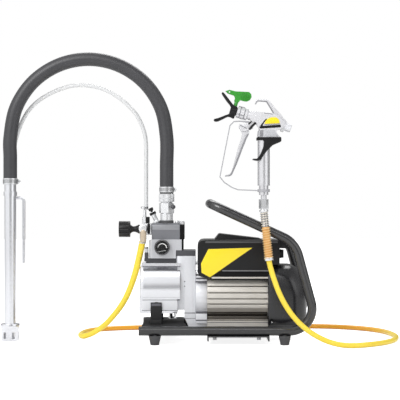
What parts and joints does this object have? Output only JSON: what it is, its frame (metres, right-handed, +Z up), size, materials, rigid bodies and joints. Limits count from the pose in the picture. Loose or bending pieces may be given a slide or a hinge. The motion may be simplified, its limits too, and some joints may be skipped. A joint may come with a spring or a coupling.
{
  "type": "airless paint sprayer",
  "caption": "Airless diaphragm paint sprayer on a tubular skid, with suction lance, return hose, yellow high pressure hose and spray gun.",
  "frame": {"origin": "floor level at the centre of the four rubber feet, which is the centre of the pattern of their fixing holes", "axes": "+Z up; +X along the skid from the pump end to the fan end; +Y away from the side that carries the gauge and the badge"},
  "size_m": [1.1561, 0.536, 0.8323],
  "materials": {
    "frame_paint": "satin",
    "rubber_black": "matt",
    "bolt_steel": "satin",
    "fin_alloy": "matt",
    "core_iron": "matt",
    "cast_alloy": "satin",
    "plastic_black": "matt",
    "badge_yellow": "gloss",
    "cap_alloy": "satin",
    "dark_iron": "matt",
    "diaphragm_rubber": "matt",
    "head_steel": "satin",
    "block_steel": "satin",
    "stainless": "satin",
    "gauge_black": "gloss",
    "gauge_window": "clear",
    "needle_white": "matt",
    "hose_dark": "satin",
    "hose_clear": "translucent",
    "hose_yellow": "gloss",
    "spring_steel": "bright",
    "grip_alloy": "satin",
    "trigger_steel": "satin",
    "tip_green": "satin"
  },
  "bodies": {
    "root": {"carry_frame": "frame_paint", "feet_and_plugs": "rubber_black", "base_plate": "frame_paint", "pump_brackets": "frame_paint", "motor_bracket": "frame_paint", "hex_bolts": "bolt_steel", "motor_body": "fin_alloy", "stator": "core_iron", "motor_shields": "cast_alloy", "bearings": "bolt_steel", "fan_cowl": "plastic_black", "motor_cover": "plastic_black", "cover_badge": "badge_yellow", "cable_gland": "plastic_black", "drive_housing": "cast_alloy", "drive_cover": "cast_alloy", "drive_cap": "cap_alloy", "hydraulic_housing": "cast_alloy", "oil_plugs": "bolt_steel", "head_gasket": "dark_iron", "hydraulic_piston": "bolt_steel", "piston_spring": "bolt_steel", "diaphragm": "diaphragm_rubber", "pump_head": "head_steel", "head_cap": "block_steel", "side_cover": "plastic_black", "inlet_valve": "head_steel", "union_nut": "head_steel", "pusher_body": "bolt_steel", "regulator_body": "head_steel", "return_fitting": "plastic_black", "gauge_case": "gauge_black", "gauge_glass": "gauge_window", "suction_hose": "hose_dark", "hose_clamps": "bolt_steel", "suction_tube": "stainless", "strainer": "stainless", "return_hose": "hose_clear", "return_pipe": "stainless", "pressure_hose": "hose_yellow", "spring_guard": "spring_steel", "hose_ferrules": "spring_steel"},
    "rotor": {"rotor_shaft": "bolt_steel", "cooling_fan": "plastic_black"},
    "crank": {"crankshaft": "bolt_steel"},
    "knob": {"pressure_knob": "plastic_black"},
    "pusher": {"pusher_button": "plastic_black"},
    "switch": {"power_switch": "plastic_black"},
    "needle": {"gauge_needle": "needle_white"},
    "gun": {"gun_body": "cast_alloy", "gun_grip": "grip_alloy", "hand_rest": "plastic_black", "gun_hook": "trigger_steel", "trigger_guard": "trigger_steel", "tip_nut": "grip_alloy"},
    "trigger_arm": {"trigger": "trigger_steel"},
    "lock": {"trigger_lock": "plastic_black"},
    "valve_needle": {"needle_rod": "bolt_steel"},
    "tip_guard_body": {"tip_guard": "plastic_black"},
    "tip": {"spray_tip": "tip_green"}
  },
  "joints": [
    {"name": "rotor_spin", "type": "hinge", "parent": "root", "child": "rotor", "pos_m": [0, 0, 0.122], "axis": [1, 0, 0], "continuous": true},
    {"name": "crank_spin", "type": "hinge", "parent": "root", "child": "crank", "pos_m": [0, 0, 0.172], "axis": [1, 0, 0], "continuous": true},
    {"name": "pressure_knob_turn", "type": "hinge", "parent": "root", "child": "knob", "pos_m": [-0.27, -0.03, 0.322], "axis": [1, 0, 0], "range_deg": [0, 270]},
    {"name": "pusher_press", "type": "slide", "parent": "root", "child": "pusher", "axis": [0.4384, 0, -0.8988], "range_m": [0, 0.004], "stiffness_N_per_m": 1500, "springref_m": -0.002},
    {"name": "power_switch_turn", "type": "hinge", "parent": "root", "child": "switch", "pos_m": [0.18, -0.01, 0.25], "axis": [1, 0, 0], "range_deg": [0, 90]},
    {"name": "gauge_needle_sweep", "type": "hinge", "parent": "root", "child": "needle", "pos_m": [-0.164, -0.054, 0.27], "axis": [0, 1, 0], "range_deg": [0, 270], "stiffness_Nm_per_rad": 0.001, "springref_deg": -11.46},
    {"name": "gun_swivel", "type": "hinge", "parent": "root", "child": "gun", "pos_m": [0.1215, -0.166, 0.4], "axis": [0, 0, 1], "continuous": true},
    {"name": "trigger_pull", "type": "hinge", "parent": "gun", "child": "trigger_arm", "pos_m": [0.064, -0.166, 0.606], "axis": [0, -1, 0], "range_deg": [0, 14], "stiffness_Nm_per_rad": 2, "springref_deg": -11.46},
    {"name": "needle_slide", "type": "slide", "parent": "gun", "child": "valve_needle", "axis": [0.9625, 0, -0.2714], "range_m": [0, 0.0031]},
    {"name": "trigger_lock_flip", "type": "hinge", "parent": "gun", "child": "lock", "pos_m": [0.089, -0.18, 0.61], "axis": [0, 1, 0], "range_deg": [0, 80]},
    {"name": "tip_guard_turn", "type": "hinge", "parent": "gun", "child": "tip_guard_body", "pos_m": [0.1215, -0.166, 0.63], "axis": [0.9625, 0, -0.2714], "range_deg": [0, 90]},
    {"name": "spray_tip_turn", "type": "hinge", "parent": "tip_guard_body", "child": "tip", "pos_m": [0.03873, -0.166, 0.65334], "axis": [0.2714, 0, 0.9625], "range_deg": [0, 180]}
  ],
  "couplings": [
    {"joint": "crank_spin", "follows": "rotor_spin", "ratio": -0.42857},
    {"joint": "needle_slide", "follows": "trigger_pull", "m_per_rad": 0.01228}
  ]
}
